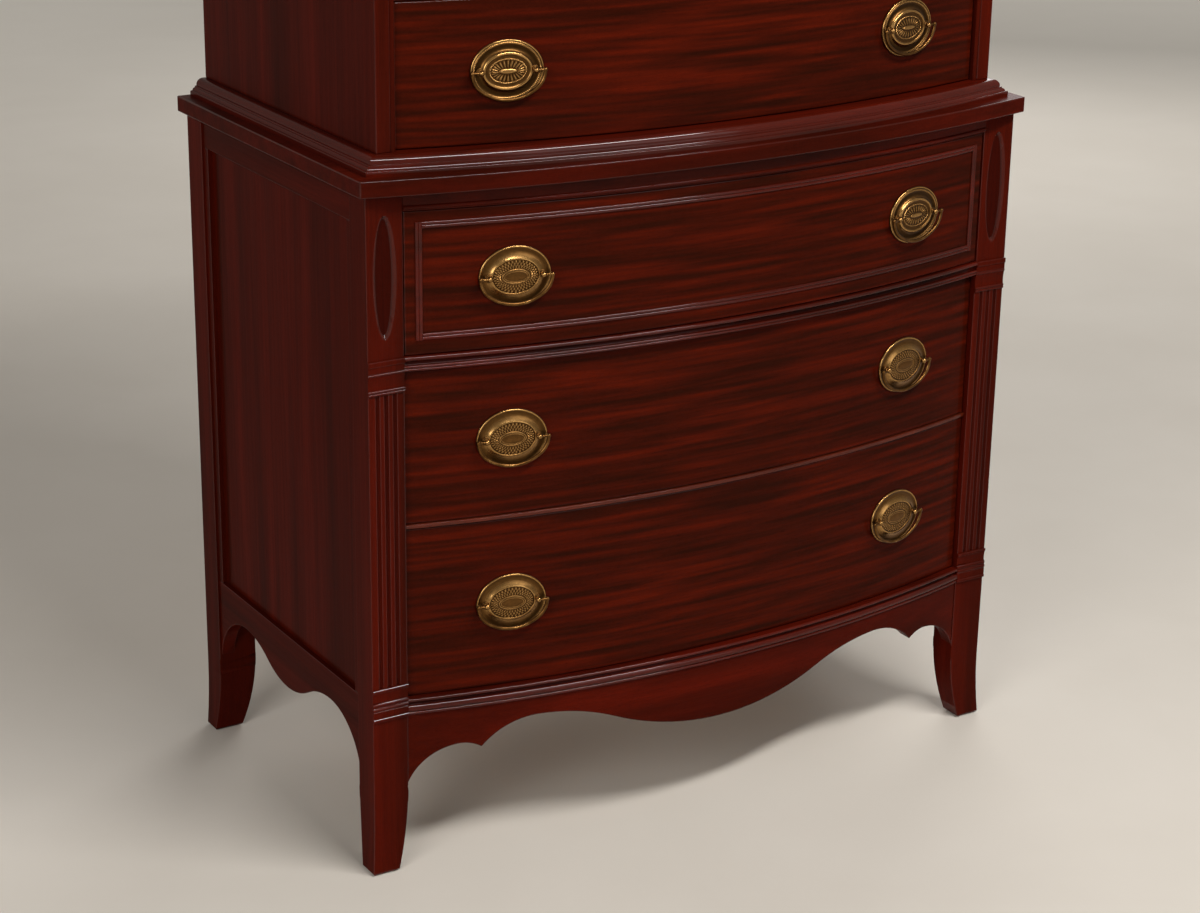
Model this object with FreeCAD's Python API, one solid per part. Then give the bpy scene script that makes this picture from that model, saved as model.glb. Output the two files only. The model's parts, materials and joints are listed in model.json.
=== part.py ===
import FreeCAD, Part
import os
from math import asin, cos, degrees, hypot, sin, sqrt

# Bow-front chest-on-chest: a lower case of three drawers on four legs carries a
# narrower upper case of three drawers. Millimetres, +Z up, the front faces -Y,
# and the origin is on the floor under the middle of the waist board.

V = FreeCAD.Vector

# Waist board, the top of the lower case
BOARD_W = 914.0
BOARD_END_DEPTH = 488.0
BOARD_BOW = 56.0
BOARD_T = 19.0
BOARD_SIDE_LIP = 9.5
BOARD_FRONT_LIP = 4.7
BOARD_BACK_LIP = 6.0

# Corner posts and legs
POST_W = 45.0
POST_D = 38.0
REAR_POST_W = 50.0
REAR_POST_D = 40.0
LEG_H = 196.5
FRONT_FOOT_W = 30.0
FRONT_FOOT_D = 25.0
REAR_FOOT_W = 34.0
REAR_FOOT_D = 26.0
FOOT_TAPER_H = 106.0
FOOT_FLARE = 4.0
FOOT_FLARE_H = 85.0
FOOT_CHAMFER = 3.0
FLUTE_COUNT = 3
FLUTE_PITCH = 10.75
FLUTE_R = 2.5
OVAL_MARGIN_Z = 23.0
OVAL_MARGIN_X = 8.0
OVAL_BEVEL = 4.5
OVAL_SINK = 3.5

# A moulding is a stack of members from its foot up. Each has a height, how far it
# projects at its foot and at its head, and the swell of the arc between them, which
# is hollow where the swell is negative and straight where it is nought.
CAPITAL = (
    (3.2, 0.8, 0.8, 1.3),
    (3.2, 0.8, 0.8, 1.3),
    (16.6, 0.8, 1.8, -0.9),
    (2.6, 1.8, 1.8, 0.9),
    (8.0, 1.9, 1.9, 0),
    (6.4, 3.0, 3.0, 0),
)
PLINTH = (
    (4.0, 3.0, 3.0, 0),
    (9.0, 2.0, 2.0, 0),
    (5.0, 1.5, 1.5, 1.4),
    (5.3, 1.2, 1.2, 1.2),
    (13.0, 0.8, 1.6, -0.8),
    (3.7, 2.4, 2.4, 0),
)
BASE_RAIL = (
    (3.8, 0, 0, 1.7),
    (8.0, 0, 0, 2.5),
    (4.0, 0, 0, -1.7),
    (4.2, 0, 0, 1.9),
)
PARTING_RAIL = (
    (3.2, 0, 0, 1.3),
    (3.2, 0, 0, 1.3),
    (5.6, 0, 0, -2.2),
    (5.0, 0, 0, 2.2),
)
LOWER_TOP_RAIL = (
    (1.2, 0, 0, 0),
    (5.0, 0, 0, 2.3),
    (14.8, 0, 0, 0),
)
WAIST = (
    (7.0, 20.5, 20.5, 0),
    (0.8, 20.5, 19.0, 0),
    (4.0, 19.0, 13.0, 1.2),
    (3.0, 13.0, 9.5, -0.8),
    (5.2, 9.5, 2.5, 1.6),
)
CORNICE = (
    (4.0, 4.0, 4.0, 0),
    (15.0, 4.0, 17.0, -3.0),
    (7.0, 20.0, 20.0, 0),
)

# Bowed front of the lower case, measured between the posts
FRONT_BOW = 52.0
RAIL_DEPTH = 60.0
DIVIDER_T = 4.5
DIVIDER_SETBACK = 7.5
APRON_T = 20.0
APRON_SETBACK = 4.0
BLOCK_SIDE = 36.0
BLOCK_H = 40.0

# Sides of the lower case
SIDE_INSET = 2.5
SIDE_T = 18.0
SIDE_RAIL_H = 36.0
SIDE_STILE_W = 12.0
PANEL_SINK = 6.0
PANEL_T = 6.0
PANEL_TONGUE = 6.0
GROOVE_CLEARANCE = 0.2

# Drawers, listed from the bottom up: front height and setback of the face
LOWER_FRONT_H = (205.5, 181.7, 162.6)
LOWER_SETBACK = (10.0, 10.0, 4.5)
UPPER_FRONT_H = (159.0, 150.0, 140.0)
UPPER_SETBACK = 6.0
DRAWER_GAP = 1.2
DRAWER_SIDE_GAP = 1.5
FRONT_T = 22.0
BOX_SIDE_T = 12.0
BOX_SIDE_GAP = 1.0
BOX_BACK_GAP = 6.0
BOX_BELOW_FRONT = 24.0
BOTTOM_T = 5.0
BOTTOM_RAISE = 10.0
BOTTOM_TONGUE = 5.0
RUNNER_GAP = 0.3
RUNNER_T = 14.0
RUNNER_W = 43.0
GUIDE_H = 18.0
BEAD_INSET = 12.0
BEAD_FOOT_INSET = 16.5
BEAD_REEDS = 2
BEAD_REED_W = 3.75
BEAD_BASE_T = 1.2
BEAD_SWELL = 1.0

# Backs
BACK_T = 6.0
BACK_INSET = 4.0
BACK_RAIL_T = 18.0

# Waist moulding and upper case
UPPER_INSET = 26.0
UPPER_SIDE_T = 18.0
EDGE_BEAD_W = 6.0
EDGE_BEAD_D = 20.0
EDGE_BEAD_SETBACK = 1.0
EDGE_BEAD_SWELL = 1.6
UPPER_DIVIDER_T = 5.0
UPPER_DIVIDER_SETBACK = 8.0
UPPER_TOP_RAIL_H = 18.0
TOP_BOARD_LIP = 25.0
TOP_BOARD_T = 18.0

# Oval pulls: a plate, two posts with nuts, and a bail that hangs from the posts
PULL_INSET = 123.5
PLATE_W = 85.0
PLATE_H = 69.0
PLATE_RIM_T = 1.2
PLATE_RISE = 3.4
PLATE_RIM_SLOPE = 4.0
PLATE_RIM_FLAT = 2.5
SEAT_GAP = 0.1
BOSS_W = 48.0
BOSS_H = 31.0
BOSS_RISE = 4.6
BOSS_SLOPE = 3.0
POST_SPREAD = 63.0
POST_SHANK_R = 2.5
POST_HOLE_CLEARANCE = 0.15
POST_HEAD_R = 3.4
POST_REACH = 7.5
NUT_R = 5.0
NUT_T = 3.0
BAIL_WIRE_R = 2.0
BAIL_PIN_R = 1.5
BAIL_PIN_CLEARANCE = 0.06
BAIL_SPREAD = 84.0
BAIL_DROP = 31.0
BAIL_SIDE_R = 25.0
BAIL_BALL_R = 2.6


def height_of(members):
    return sum(member[0] for member in members)


def reach_of(members):
    """How far a moulding projects where it stands out most."""
    return max(max(foot, head, (foot + head) / 2 + swell) for rise, foot, head, swell in members)


# Places that follow from the sizes above
FRONT_APEX_Y = -(BOARD_END_DEPTH + BOARD_BOW) / 2
BOARD_END_Y = FRONT_APEX_Y + BOARD_BOW
BOARD_BACK_Y = BOARD_END_Y + BOARD_END_DEPTH
CASE_HALF = BOARD_W / 2 - BOARD_SIDE_LIP
CASE_BACK_Y = BOARD_BACK_Y - BOARD_BACK_LIP
POST_FRONT_Y = BOARD_END_Y + BOARD_FRONT_LIP
POST_FACE_Y = POST_FRONT_Y + reach_of(CAPITAL)
POST_BACK_Y = POST_FACE_Y + POST_D
REAR_POST_Y = CASE_BACK_Y - REAR_POST_D
OPENING_HALF = CASE_HALF - POST_W

# Every bowed piece but the two boards curves about one upright axis
BOW_R = (OPENING_HALF ** 2 + FRONT_BOW ** 2) / (2 * FRONT_BOW)
BOW_APEX_Y = POST_FRONT_Y - FRONT_BOW
BOW_CENTRE_Y = BOW_APEX_Y + BOW_R

# Heights of the lower case, stacked from the floor
BASE_RAIL_TOP = LEG_H + height_of(BASE_RAIL)
DIVIDER_Z = BASE_RAIL_TOP + LOWER_FRONT_H[0] + 2 * DRAWER_GAP
PARTING_RAIL_Z = DIVIDER_Z + DIVIDER_T + LOWER_FRONT_H[1] + 2 * DRAWER_GAP
PARTING_RAIL_TOP = PARTING_RAIL_Z + height_of(PARTING_RAIL)
TOP_RAIL_Z = PARTING_RAIL_TOP + LOWER_FRONT_H[2] + 2 * DRAWER_GAP
BOARD_Z = TOP_RAIL_Z + height_of(LOWER_TOP_RAIL)
BOARD_TOP = BOARD_Z + BOARD_T
LOWER_SEATS = (BASE_RAIL_TOP, DIVIDER_Z + DIVIDER_T, PARTING_RAIL_TOP)

# The upper case
UPPER_HALF = CASE_HALF - UPPER_INSET
UPPER_FRONT_Y = POST_FRONT_Y + UPPER_INSET
UPPER_INNER = UPPER_HALF - UPPER_SIDE_T
UPPER_OPENING = UPPER_INNER - EDGE_BEAD_W
UPPER_FLOOR = BOARD_TOP + height_of(WAIST)
UPPER_STEP = UPPER_DIVIDER_T + 2 * DRAWER_GAP
UPPER_DIVIDER_1_Z = UPPER_FLOOR + UPPER_FRONT_H[0] + 2 * DRAWER_GAP
UPPER_DIVIDER_2_Z = UPPER_DIVIDER_1_Z + UPPER_STEP + UPPER_FRONT_H[1]
UPPER_RAIL_Z = UPPER_DIVIDER_2_Z + UPPER_STEP + UPPER_FRONT_H[2]
SUB_TOP_Z = UPPER_RAIL_Z + UPPER_TOP_RAIL_H
TOP_Z = SUB_TOP_Z + height_of(CORNICE)
UPPER_SEATS = (
    UPPER_FLOOR,
    UPPER_DIVIDER_1_Z + UPPER_DIVIDER_T,
    UPPER_DIVIDER_2_Z + UPPER_DIVIDER_T,
)


def setback_through(x, y):
    """Setback, from the lower rails' curve, of the concentric curve through (x, y)."""
    return BOW_R - sqrt(x * x + (BOW_CENTRE_Y - y) ** 2)


def bow_y(x, setback):
    """Depth of the bowed front at x, on the curve that lies setback behind the rails."""
    return BOW_CENTRE_Y - sqrt((BOW_R - setback) ** 2 - x * x)


UPPER_RAIL_SETBACK = setback_through(UPPER_OPENING, UPPER_FRONT_Y)
UPPER_FLOOR_SETBACK = setback_through(UPPER_HALF, UPPER_FRONT_Y)


# Degrees by which a bowed piece is swept past its ends before they are cut upright
SWEEP_MARGIN = 1.0


def front_view(point):
    return V(point[0], 0, point[1])


def side_view(point):
    return V(0, point[0], point[1])


def plan_view(point):
    return V(point[0], point[1], 0)


def outline(steps, view):
    """Face inside a closed outline. A step is a point, reached by a straight line, or a
    pair of points: an arc through the first one to the second one."""
    edges = []
    here = steps[0]
    for step in list(steps[1:]) + [steps[0]]:
        if isinstance(step[0], tuple):
            middle, end = step
            edges.append(Part.Arc(view(here), view(middle), view(end)).toShape())
        else:
            end = step
            edges.append(Part.makeLine(view(here), view(end)))
        here = end
    return Part.Face(Part.Wire(edges))


def block(x_span, y_span, z_span):
    low = V(x_span[0], y_span[0], z_span[0])
    sizes = [span[1] - span[0] for span in (x_span, y_span, z_span)]
    return Part.makeBox(sizes[0], sizes[1], sizes[2], low)


def mirrored(shape):
    return shape.mirror(V(0, 0, 0), V(1, 0, 0))


def both_sides(shape):
    """A piece on the left, and its mirror image on the right."""
    return [shape, mirrored(shape)]


def points_of(profile):
    """Every point of a profile, those of its arcs included."""
    points = []
    for step in profile:
        points += step if isinstance(step[0], tuple) else (step,)
    return points


def mapped(profile, change):
    """The profile with change applied to each of its points."""
    return [
        tuple(change(point) for point in step) if isinstance(step[0], tuple) else change(step)
        for step in profile
    ]


def bowed(profile, half):
    """Piece that follows the bowed front out to x = half on each side. The profile's
    points are (setback, height), and setback runs back from the lower rails' curve."""
    face = outline(profile, lambda point: V(0, BOW_APEX_Y + point[0], point[1]))
    farthest = max(point[0] for point in points_of(profile))
    sweep = degrees(asin(half / (BOW_R - farthest))) + SWEEP_MARGIN
    axis_point = V(0, BOW_CENTRE_Y, 0)
    face.rotate(axis_point, V(0, 0, 1), -sweep)
    ring = face.revolve(axis_point, V(0, 0, 1), 2 * sweep)
    heights = [point[1] for point in points_of(profile)]
    z_span = (min(heights) - half, max(heights) + half)
    return ring.common(block((-half, half), (BOW_APEX_Y - half, BOW_CENTRE_Y), z_span))


def bowed_bar(half, setback, depth, z_span):
    low, high = z_span
    back = setback + depth
    return bowed([(setback, low), (setback, high), (back, high), (back, low)], half)


def inside_bow(setback, z_span):
    """Upright cylinder that fills the space behind one of the bowed curves."""
    low, high = z_span
    return Part.makeCylinder(BOW_R - setback, high - low, V(0, BOW_CENTRE_Y, low))


def bow_board(half, end_y, apex_y, back_y, z_span):
    """Flat board with a bowed front edge."""
    front = ((0, apex_y), (half, end_y))
    face = outline([(-half, end_y), front, (half, back_y), (-half, back_y)], plan_view)
    face.translate(V(0, 0, z_span[0]))
    return face.extrude(V(0, 0, z_span[1] - z_span[0]))


def moulding(members):
    """A moulding's face as steps of (projection, height), from its foot up."""
    steps = []
    height = 0
    for rise, foot, head, swell in members:
        middle = ((foot + head) / 2 + swell, height + rise / 2)
        start = (foot, height)
        height += rise
        if not steps or points_of(steps)[-1] != start:
            steps.append(start)
        steps.append((middle, (head, height)) if swell else (head, height))
    return steps


def moulded_rail(members, z):
    """Bowed rail between the posts with a moulded front, whose foot is at z."""
    face = moulding(members)
    out = reach_of(members)
    profile = mapped(face, lambda point: (out - point[0], z + point[1]))
    profile += [(RAIL_DEPTH, z + height_of(members)), (RAIL_DEPTH, z)]
    return bowed(profile, OPENING_HALF)


def arcs_through(start, spots):
    """Arcs from start, one to each spot: a point, and how far the arc bulges left of
    the straight line to it."""
    arcs = []
    for end, bulge in spots:
        run = (end[0] - start[0], end[1] - start[1])
        share = bulge / hypot(run[0], run[1])
        middle_x = (start[0] + end[0]) / 2 - share * run[1]
        middle_y = (start[1] + end[1]) / 2 + share * run[0]
        arcs.append(((middle_x, middle_y), end))
        start = end
    return arcs


def with_mirror_image(start, arcs, axis):
    """Half an edge's arcs, then their mirror image beyond the upright line at axis."""
    def flipped(point):
        return (2 * axis - point[0], point[1])

    starts = [start] + [arc[1] for arc in arcs]
    image = [(flipped(arc[0]), flipped(point)) for arc, point in zip(arcs, starts)]
    return arcs + image[::-1]


def export(name, solids):
    shape = solids[0] if len(solids) == 1 else Part.makeCompound(solids)
    shape.exportStep("parts/" + name + ".step")


def post_strip(members, z):
    """Moulded strip across the front of the left post."""
    profile = mapped(moulding(members), lambda point: (POST_FACE_Y - point[0], z + point[1]))
    profile += [(POST_FACE_Y, z + height_of(members)), (POST_FACE_Y, z)]
    strip = outline(profile, side_view)
    strip.translate(V(-CASE_HALF, 0, 0))
    return strip.extrude(V(POST_W, 0, 0))


def sunk_oval():
    """Upright oval hollow with sloping sides, open towards -Y, about the origin."""
    half_h = (BOARD_Z - PARTING_RAIL_TOP) / 2 - OVAL_MARGIN_Z
    half_w = POST_W / 2 - OVAL_MARGIN_X
    rings = []
    for shrink, depth in ((0, 0), (OVAL_BEVEL, OVAL_SINK)):
        ring = Part.Ellipse(V(0, 0, 0), half_h - shrink, half_w - shrink).toShape()
        ring.rotate(V(0, 0, 0), V(0, 0, 1), 90)
        ring.rotate(V(0, 0, 0), V(1, 0, 0), 90)
        ring.translate(V(0, depth, 0))
        rings.append(Part.Wire(ring))
    return Part.makeLoft(rings, True, True)


def swept(top, foot, height):
    """Middle of an arc that leaves an upright line at the given height and swings out
    to the floor."""
    return (top + (foot - top) / 4, height / 2)


def leg_outline(top, foot, view):
    """Leg seen from the front or the side, where top and foot are (outer, inner)."""
    outer, inner = top
    foot_outer, foot_inner = foot
    steps = [(outer, LEG_H), (outer, FOOT_FLARE_H)]
    if foot_outer == outer:
        steps.append((foot_outer, 0))
    else:
        steps.append((swept(outer, foot_outer, FOOT_FLARE_H), (foot_outer, 0)))
    steps += [(foot_inner, 0), (swept(inner, foot_inner, FOOT_TAPER_H), (inner, FOOT_TAPER_H))]
    return outline(steps + [(inner, LEG_H)], view)


def splayed_leg(x_span, foot_x, y_span, foot_y):
    """Leg from the floor to LEG_H, whose spans at its top and at its foot are (outer, inner)."""
    front = leg_outline(x_span, foot_x, front_view)
    side = leg_outline(y_span, foot_y, side_view)
    reach = 2 * BOARD_W
    front.translate(V(0, -reach / 2, 0))
    side.translate(V(-reach / 2, 0, 0))
    leg = front.extrude(V(0, reach, 0)).common(side.extrude(V(reach, 0, 0)))
    floor_edges = [edge for edge in leg.Edges if edge.BoundBox.ZMax < FOOT_CHAMFER / 2]
    return leg.makeChamfer(FOOT_CHAMFER, floor_edges)


def front_post_left():
    """Post with a sunk oval, a capital, a fluted shaft, a plinth and a splayed leg."""
    x_span = (-CASE_HALF, -OPENING_HALF)
    middle_x = (x_span[0] + x_span[1]) / 2
    capital_z = PARTING_RAIL_TOP - height_of(CAPITAL)
    shaft = block(x_span, (POST_FACE_Y, POST_BACK_Y), (LEG_H, BOARD_Z))
    shaft = shaft.fuse(post_strip(CAPITAL, capital_z)).fuse(post_strip(PLINTH, LEG_H))
    flute_low = LEG_H + height_of(PLINTH)
    for number in range(FLUTE_COUNT):
        x = middle_x + (number - (FLUTE_COUNT - 1) / 2) * FLUTE_PITCH
        low = V(x, POST_FACE_Y, flute_low)
        shaft = shaft.cut(Part.makeCylinder(FLUTE_R, capital_z - flute_low, low))
    oval = sunk_oval()
    oval.translate(V(middle_x, POST_FACE_Y, (PARTING_RAIL_TOP + BOARD_Z) / 2))
    leg = splayed_leg(
        x_span,
        (-CASE_HALF - FOOT_FLARE, -CASE_HALF + FRONT_FOOT_W),
        (POST_FACE_Y, POST_BACK_Y),
        (POST_FACE_Y - FOOT_FLARE, POST_FACE_Y + FRONT_FOOT_D),
    )
    return shaft.cut(oval).fuse(leg).removeSplitter()


def rear_post_left():
    """Plain rear post whose leg is splayed sideways alone, so that it can stand at a wall."""
    x_span = (-CASE_HALF, -CASE_HALF + REAR_POST_W)
    upright = block(x_span, (REAR_POST_Y, CASE_BACK_Y), (LEG_H, BOARD_Z))
    leg = splayed_leg(
        x_span,
        (-CASE_HALF - FOOT_FLARE, -CASE_HALF + REAR_FOOT_W),
        (CASE_BACK_Y, REAR_POST_Y),
        (CASE_BACK_Y, CASE_BACK_Y - REAR_FOOT_D),
    )
    return upright.fuse(leg).removeSplitter()


# The side's frame lies between the two posts and holds a sunk panel in its grooves
SIDE_OUT_X = -CASE_HALF + SIDE_INSET
SIDE_IN_X = SIDE_OUT_X + SIDE_T
PANEL_Y = (POST_BACK_Y + SIDE_STILE_W, REAR_POST_Y - SIDE_STILE_W)
PANEL_Z = (BASE_RAIL_TOP, BOARD_Z - SIDE_RAIL_H)
SIDE_MIDDLE_Y = (POST_BACK_Y + REAR_POST_Y) / 2

# Scalloped lower edge of the side, from a post to the middle: drop below the base rail
# at the post, then spots as distance from the post, drop, and bulge of the arc to it
SIDE_END_DROP = 84.0
SIDE_ARCH = (79.0, 17.2, 18.9)
SIDE_TURN = (140.0, 33.5, 4.15)
SIDE_DROP = (49.8, -4.15)


def grown_panel(extra):
    """The panel with its tongues, or its groove when extra is the groove's clearance."""
    reach = PANEL_TONGUE + extra
    x_low = SIDE_OUT_X + PANEL_SINK - extra
    return block(
        (x_low, x_low + PANEL_T + 2 * extra),
        (PANEL_Y[0] - reach, PANEL_Y[1] + reach),
        (PANEL_Z[0] - reach, PANEL_Z[1] + reach),
    )


def side_frame_left():
    """Top rail, two stiles, and a bottom rail cut to a scalloped edge; all grooved."""
    x_span = (SIDE_OUT_X, SIDE_IN_X)
    front_y, back_y = POST_BACK_Y, REAR_POST_Y
    start = (front_y, LEG_H - SIDE_END_DROP)
    spots = [((front_y + along, LEG_H - drop), bulge) for along, drop, bulge in (SIDE_ARCH, SIDE_TURN)]
    spots.append(((SIDE_MIDDLE_Y, LEG_H - SIDE_DROP[0]), SIDE_DROP[1]))
    edge = with_mirror_image(start, arcs_through(start, spots), SIDE_MIDDLE_Y)
    bottom = outline([(front_y, BASE_RAIL_TOP), start] + edge + [(back_y, BASE_RAIL_TOP)], side_view)
    bottom.translate(V(SIDE_OUT_X, 0, 0))
    pieces = [
        block(x_span, (front_y, back_y), (PANEL_Z[1], BOARD_Z)),
        bottom.extrude(V(SIDE_T, 0, 0)),
        block(x_span, (front_y, PANEL_Y[0]), PANEL_Z),
        block(x_span, (PANEL_Y[1], back_y), PANEL_Z),
    ]
    groove = grown_panel(GROOVE_CLEARANCE)
    return [piece.cut(groove) for piece in pieces]


# Lower edge of the front apron, described as the side's is
APRON_END_DROP = 88.5
APRON_BRACKET = (62.0, 45.5, 11.4)
APRON_CUSP = (87.0, 53.5, 2.0)
APRON_ARCH = (155.0, 22.8, 7.9)
APRON_TURN = (254.0, 43.5, 5.2)
APRON_DROP = (74.5, -7.8)


def front_apron():
    """Bowed apron whose lower edge has a bracket, a cusp, an arch and a middle drop."""
    start = (-OPENING_HALF, LEG_H - APRON_END_DROP)
    spots = [
        ((along - OPENING_HALF, LEG_H - drop), bulge)
        for along, drop, bulge in (APRON_BRACKET, APRON_CUSP, APRON_ARCH, APRON_TURN)
    ]
    spots.append(((0, LEG_H - APRON_DROP[0]), APRON_DROP[1]))
    edge = with_mirror_image(start, arcs_through(start, spots), 0)
    shape = outline([(-OPENING_HALF, LEG_H), start] + edge + [(OPENING_HALF, LEG_H)], front_view)
    reach = 2 * BOARD_END_DEPTH
    shape.translate(V(0, -reach / 2, 0))
    bar = bowed_bar(OPENING_HALF, APRON_SETBACK, APRON_T, (0, LEG_H))
    return bar.common(shape.extrude(V(0, reach, 0)))


def corner_blocks():
    """Glue blocks in the corners between the front apron and the front posts."""
    z_span = (LEG_H - BLOCK_H, LEG_H)
    x_span = (-OPENING_HALF, -OPENING_HALF + BLOCK_SIDE)
    y_span = (POST_FRONT_Y, POST_BACK_Y)
    cube = block(x_span, y_span, z_span)
    return both_sides(cube.common(inside_bow(APRON_SETBACK + APRON_T, z_span)))


LOWER_BOX_HALF = OPENING_HALF - DRAWER_SIDE_GAP - BOX_SIDE_GAP
UPPER_BOX_HALF = UPPER_OPENING - DRAWER_SIDE_GAP - BOX_SIDE_GAP
UPPER_BACK_Y = CASE_BACK_Y - BACK_INSET - BACK_T
LOWER_BOX_BACK = REAR_POST_Y - BOX_BACK_GAP
UPPER_BOX_BACK = UPPER_BACK_Y - BOX_BACK_GAP


def strips_behind_rail(x_span, front_y, back_y, setback, z_span):
    """Strip on each side of the case that starts behind a bowed rail's back."""
    strip = block(x_span, (front_y, back_y), z_span)
    return both_sides(strip.common(inside_bow(setback, z_span)))


def lower_runners():
    """Runners that carry the drawers, and guides that keep them straight."""
    wall = SIDE_IN_X
    solids = []
    for seat, setback in zip(LOWER_SEATS, (0, DIVIDER_SETBACK, 0)):
        place = (POST_BACK_Y, REAR_POST_Y, setback + RAIL_DEPTH)
        solids += strips_behind_rail((wall, wall + RUNNER_W), *place, (seat - RUNNER_T, seat))
        guide_x = (wall, -LOWER_BOX_HALF - BOX_SIDE_GAP)
        solids += strips_behind_rail(guide_x, *place, (seat, seat + GUIDE_H))
    return solids


def upper_runners():
    """The lowest of these drawers slides on the case's bottom, so it has guides alone."""
    wall = -UPPER_INNER
    setback = UPPER_RAIL_SETBACK + UPPER_DIVIDER_SETBACK + RAIL_DEPTH
    place = (UPPER_FRONT_Y + EDGE_BEAD_D, UPPER_BACK_Y, setback)
    solids = []
    for seat in UPPER_SEATS:
        guide_x = (wall, -UPPER_BOX_HALF - BOX_SIDE_GAP)
        solids += strips_behind_rail(guide_x, *place, (seat, seat + GUIDE_H))
        if seat > UPPER_FLOOR:
            solids += strips_behind_rail((wall, wall + RUNNER_W), *place, (seat - RUNNER_T, seat))
    return solids


def lower_back():
    """Back panel between the rear posts, and the rail that stiffens its foot."""
    half = CASE_HALF - REAR_POST_W
    back_y = CASE_BACK_Y - BACK_INSET
    inner_y = back_y - BACK_T
    panel = block((-half, half), (inner_y, back_y), (LEG_H, BOARD_Z))
    rail = block((-half, half), (inner_y - BACK_RAIL_T, inner_y), (LEG_H, BASE_RAIL_TOP))
    return [panel, rail]


# Length of a mitre cutter each way from the corner, in widths of the moulding
MITRE_REACH = 10


def corner_moulding(members, z):
    """Moulding along the front and both sides of the upper case, in three pieces with
    mitred corners, whose foot is at z."""
    half = UPPER_HALF
    setback = UPPER_FLOOR_SETBACK
    out = reach_of(members)
    height = height_of(members)
    profile = [(0, 0)] + moulding(members) + [(0, height)]
    inner = (half, bow_y(half, setback))
    outer = (half + out, bow_y(half + out, setback - out))
    run = (MITRE_REACH * (outer[0] - inner[0]), MITRE_REACH * (outer[1] - inner[1]))
    near = (inner[0] + run[0], inner[1] + run[1])
    far = (inner[0] - run[0], inner[1] - run[1])
    zone = outline([near, far, (-far[0], far[1]), (-near[0], near[1])], plan_view)
    zone.translate(V(0, 0, z - out))
    zone = zone.extrude(V(0, 0, height + 2 * out))
    front_profile = mapped(profile, lambda point: (setback - point[0], z + point[1]))
    front = bowed(front_profile, half + out).common(zone)
    side = outline(profile, lambda point: V(-half - point[0], near[1], z + point[1]))
    side = side.extrude(V(0, CASE_BACK_Y - near[1], 0)).cut(zone)
    return [front] + both_sides(side)


def upper_side_left():
    z_span = (UPPER_FLOOR, SUB_TOP_Z)
    return block((-UPPER_HALF, -UPPER_INNER), (UPPER_FRONT_Y, CASE_BACK_Y), z_span)


def upper_edge_beads():
    """Slim rounded strip inside each side's front edge."""
    x_low = -UPPER_INNER
    x_high = x_low + EDGE_BEAD_W
    front_y = UPPER_FRONT_Y + EDGE_BEAD_SETBACK
    back_y = UPPER_FRONT_Y + EDGE_BEAD_D
    nose = ((x_low + EDGE_BEAD_W / 2, front_y - EDGE_BEAD_SWELL), (x_high, front_y))
    strip = outline([(x_low, back_y), (x_low, front_y), nose, (x_high, back_y)], plan_view)
    strip.translate(V(0, 0, UPPER_FLOOR))
    return both_sides(strip.extrude(V(0, 0, SUB_TOP_Z - UPPER_FLOOR)))


def upper_board(lip, z_span):
    """Board as wide as the upper case, or wider all round the front and sides by lip."""
    setback = UPPER_FLOOR_SETBACK - lip
    half = UPPER_HALF + lip
    return bow_board(half, bow_y(half, setback), BOW_APEX_Y + setback, CASE_BACK_Y, z_span)


def drawer_front(half, setback, z_span, holes):
    """Bowed front, grooved for the bottom and drilled for the pulls' posts."""
    front = bowed_bar(half, setback, FRONT_T, z_span)
    for hole in holes:
        front = front.cut(hole)
    return front


def drawer_bottom(box_half, setback, box_back, z_low, extra):
    """Thin bottom that runs in grooves in the front and the sides, under the back."""
    half = box_half - BOX_SIDE_T + BOTTOM_TONGUE + extra
    z_span = (z_low + BOTTOM_RAISE - extra, z_low + BOTTOM_RAISE + BOTTOM_T + extra)
    board = block((-half, half), (BOW_APEX_Y, box_back + extra), z_span)
    return board.common(inside_bow(setback + FRONT_T - BOTTOM_TONGUE - extra, z_span))


def drawer_box(box_half, setback, box_back, z_span):
    """Two sides, a back and a bottom."""
    z_low, z_high = z_span
    inner = box_half - BOX_SIDE_T
    side = block((-box_half, -inner), (BOW_APEX_Y, box_back), z_span)
    side = side.common(inside_bow(setback + FRONT_T, z_span))
    groove = drawer_bottom(box_half, setback, box_back, z_low, GROOVE_CLEARANCE)
    back_z = (z_low + BOTTOM_RAISE + BOTTOM_T + GROOVE_CLEARANCE, z_high)
    back = block((-inner, inner), (box_back - BOX_SIDE_T, box_back), back_z)
    bottom = drawer_bottom(box_half, setback, box_back, z_low, 0)
    return both_sides(side.cut(groove)) + [back, bottom]


def ellipse_wire(width, height, depth):
    """Oval wire facing -Y, depth millimetres in front of the pull's seat."""
    shape = Part.Ellipse(V(0, 0, 0), width / 2, height / 2).toShape()
    shape.rotate(V(0, 0, 0), V(1, 0, 0), 90)
    shape.translate(V(0, -depth, 0))
    return Part.Wire(shape)


def along_y(radius, y_span, x):
    return Part.makeCylinder(radius, y_span[1] - y_span[0], V(x, y_span[0], 0), V(0, 1, 0))


# How far a post's shank reaches behind the pull's seat
POST_TAIL = FRONT_T + 2 * NUT_T


def pull_holes():
    """Holes that the posts pass through in the plate and in the drawer's front."""
    radius = POST_SHANK_R + POST_HOLE_CLEARANCE
    return [along_y(radius, (-POST_REACH, POST_TAIL), x) for x in (-POST_SPREAD / 2, POST_SPREAD / 2)]


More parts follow.
